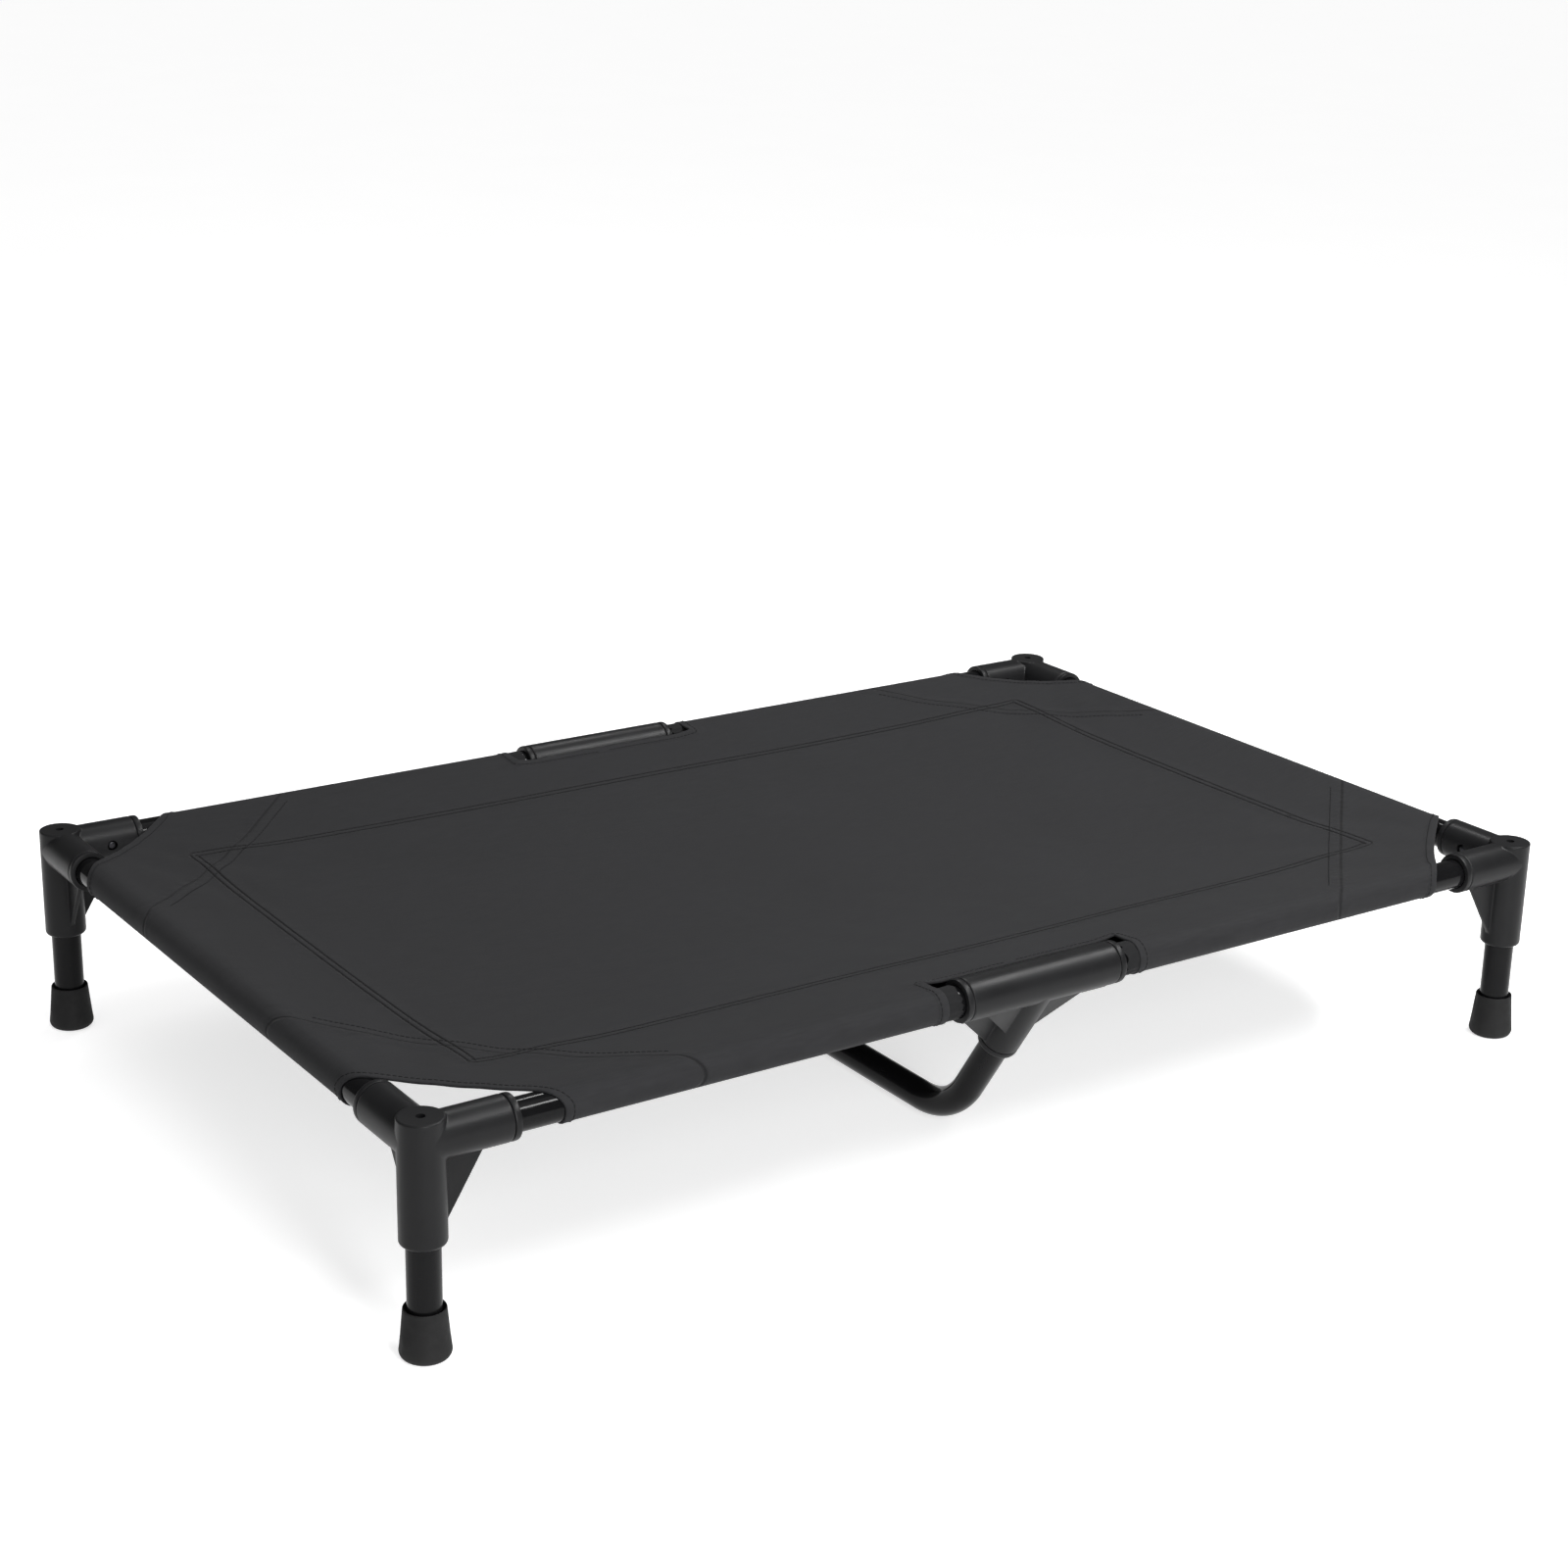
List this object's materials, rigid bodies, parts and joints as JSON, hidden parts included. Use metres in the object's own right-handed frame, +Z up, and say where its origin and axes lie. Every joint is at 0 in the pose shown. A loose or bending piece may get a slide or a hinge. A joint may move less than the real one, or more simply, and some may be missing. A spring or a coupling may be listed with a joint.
{
  "type": "dog bed with frame",
  "caption": "Raised dog bed: a push-together tube frame on rubber-footed legs, with corner and middle connectors, a bent centre brace and a stretched fabric cover.",
  "frame": {"origin": "on the floor under the middle of the bed", "axes": "+X along the long side to the right, +Y to the rear, +Z up; the front long side is at -Y"},
  "size_m": [1.0994, 0.7074, 0.1814],
  "materials": {
    "connector_plastic": "matte black, fine moulded texture",
    "satin_steel": "satin black powder coat",
    "gloss_steel": "gloss black enamel",
    "foot_rubber": "matte black",
    "cover_fabric": "woven oxford, coated on the back",
    "button_steel": "black zinc plated",
    "spring_steel": "bright spring steel"
  },
  "bodies": {
    "frame": {"corner_front_left": "connector_plastic", "leg_tube_front_left": "satin_steel", "rubber_foot_front_left": "foot_rubber", "corner_front_right": "connector_plastic", "leg_tube_front_right": "satin_steel", "rubber_foot_front_right": "foot_rubber", "corner_rear_right": "connector_plastic", "leg_tube_rear_right": "satin_steel", "rubber_foot_rear_right": "foot_rubber", "corner_rear_left": "connector_plastic", "leg_tube_rear_left": "satin_steel", "rubber_foot_rear_left": "foot_rubber", "front_rail_left": "gloss_steel", "front_rail_right": "gloss_steel", "rear_rail_left": "gloss_steel", "rear_rail_right": "gloss_steel", "side_rail_left": "gloss_steel", "side_rail_right": "gloss_steel", "mid_connector_front": "connector_plastic", "mid_connector_rear": "connector_plastic", "centre_brace": "gloss_steel", "bed_cover": "cover_fabric", "button_spring_front_left_outer": "spring_steel", "button_spring_front_left_inner": "spring_steel", "button_spring_front_right_outer": "spring_steel", "button_spring_front_right_inner": "spring_steel", "button_spring_rear_left_outer": "spring_steel", "button_spring_rear_left_inner": "spring_steel", "button_spring_rear_right_outer": "spring_steel", "button_spring_rear_right_inner": "spring_steel", "button_spring_left_side_front": "spring_steel", "button_spring_left_side_rear": "spring_steel", "button_spring_right_side_front": "spring_steel", "button_spring_right_side_rear": "spring_steel"},
    "button_front_left_outer": {"snap_button_front_left_outer": "button_steel"},
    "button_front_left_inner": {"snap_button_front_left_inner": "button_steel"},
    "button_front_right_outer": {"snap_button_front_right_outer": "button_steel"},
    "button_front_right_inner": {"snap_button_front_right_inner": "button_steel"},
    "button_rear_left_outer": {"snap_button_rear_left_outer": "button_steel"},
    "button_rear_left_inner": {"snap_button_rear_left_inner": "button_steel"},
    "button_rear_right_outer": {"snap_button_rear_right_outer": "button_steel"},
    "button_rear_right_inner": {"snap_button_rear_right_inner": "button_steel"},
    "button_left_side_front": {"snap_button_left_side_front": "button_steel"},
    "button_left_side_rear": {"snap_button_left_side_rear": "button_steel"},
    "button_right_side_front": {"snap_button_right_side_front": "button_steel"},
    "button_right_side_rear": {"snap_button_right_side_rear": "button_steel"}
  },
  "joints": [
    {"name": "press_front_left_outer", "type": "slide", "parent": "frame", "child": "button_front_left_outer", "axis": [0, -1, 0], "range_m": [0, 0.0041], "stiffness_N_per_m": 1500, "springref_m": -0.001, "deforming": ["button_spring_front_left_outer"]},
    {"name": "press_front_left_inner", "type": "slide", "parent": "frame", "child": "button_front_left_inner", "axis": [0, -1, 0], "range_m": [0, 0.0041], "stiffness_N_per_m": 1500, "springref_m": -0.001, "deforming": ["button_spring_front_left_inner"]},
    {"name": "press_front_right_outer", "type": "slide", "parent": "frame", "child": "button_front_right_outer", "axis": [0, -1, 0], "range_m": [0, 0.0041], "stiffness_N_per_m": 1500, "springref_m": -0.001, "deforming": ["button_spring_front_right_outer"]},
    {"name": "press_front_right_inner", "type": "slide", "parent": "frame", "child": "button_front_right_inner", "axis": [0, -1, 0], "range_m": [0, 0.0041], "stiffness_N_per_m": 1500, "springref_m": -0.001, "deforming": ["button_spring_front_right_inner"]},
    {"name": "press_rear_left_outer", "type": "slide", "parent": "frame", "child": "button_rear_left_outer", "axis": [0, 1, 0], "range_m": [0, 0.0041], "stiffness_N_per_m": 1500, "springref_m": -0.001, "deforming": ["button_spring_rear_left_outer"]},
    {"name": "press_rear_left_inner", "type": "slide", "parent": "frame", "child": "button_rear_left_inner", "axis": [0, 1, 0], "range_m": [0, 0.0041], "stiffness_N_per_m": 1500, "springref_m": -0.001, "deforming": ["button_spring_rear_left_inner"]},
    {"name": "press_rear_right_outer", "type": "slide", "parent": "frame", "child": "button_rear_right_outer", "axis": [0, 1, 0], "range_m": [0, 0.0041], "stiffness_N_per_m": 1500, "springref_m": -0.001, "deforming": ["button_spring_rear_right_outer"]},
    {"name": "press_rear_right_inner", "type": "slide", "parent": "frame", "child": "button_rear_right_inner", "axis": [0, 1, 0], "range_m": [0, 0.0041], "stiffness_N_per_m": 1500, "springref_m": -0.001, "deforming": ["button_spring_rear_right_inner"]},
    {"name": "press_left_side_front", "type": "slide", "parent": "frame", "child": "button_left_side_front", "axis": [-1, 0, 0], "range_m": [0, 0.0041], "stiffness_N_per_m": 1500, "springref_m": -0.001, "deforming": ["button_spring_left_side_front"]},
    {"name": "press_left_side_rear", "type": "slide", "parent": "frame", "child": "button_left_side_rear", "axis": [-1, 0, 0], "range_m": [0, 0.0041], "stiffness_N_per_m": 1500, "springref_m": -0.001, "deforming": ["button_spring_left_side_rear"]},
    {"name": "press_right_side_front", "type": "slide", "parent": "frame", "child": "button_right_side_front", "axis": [1, 0, 0], "range_m": [0, 0.0041], "stiffness_N_per_m": 1500, "springref_m": -0.001, "deforming": ["button_spring_right_side_front"]},
    {"name": "press_right_side_rear", "type": "slide", "parent": "frame", "child": "button_right_side_rear", "axis": [1, 0, 0], "range_m": [0, 0.0041], "stiffness_N_per_m": 1500, "springref_m": -0.001, "deforming": ["button_spring_right_side_rear"]}
  ]
}
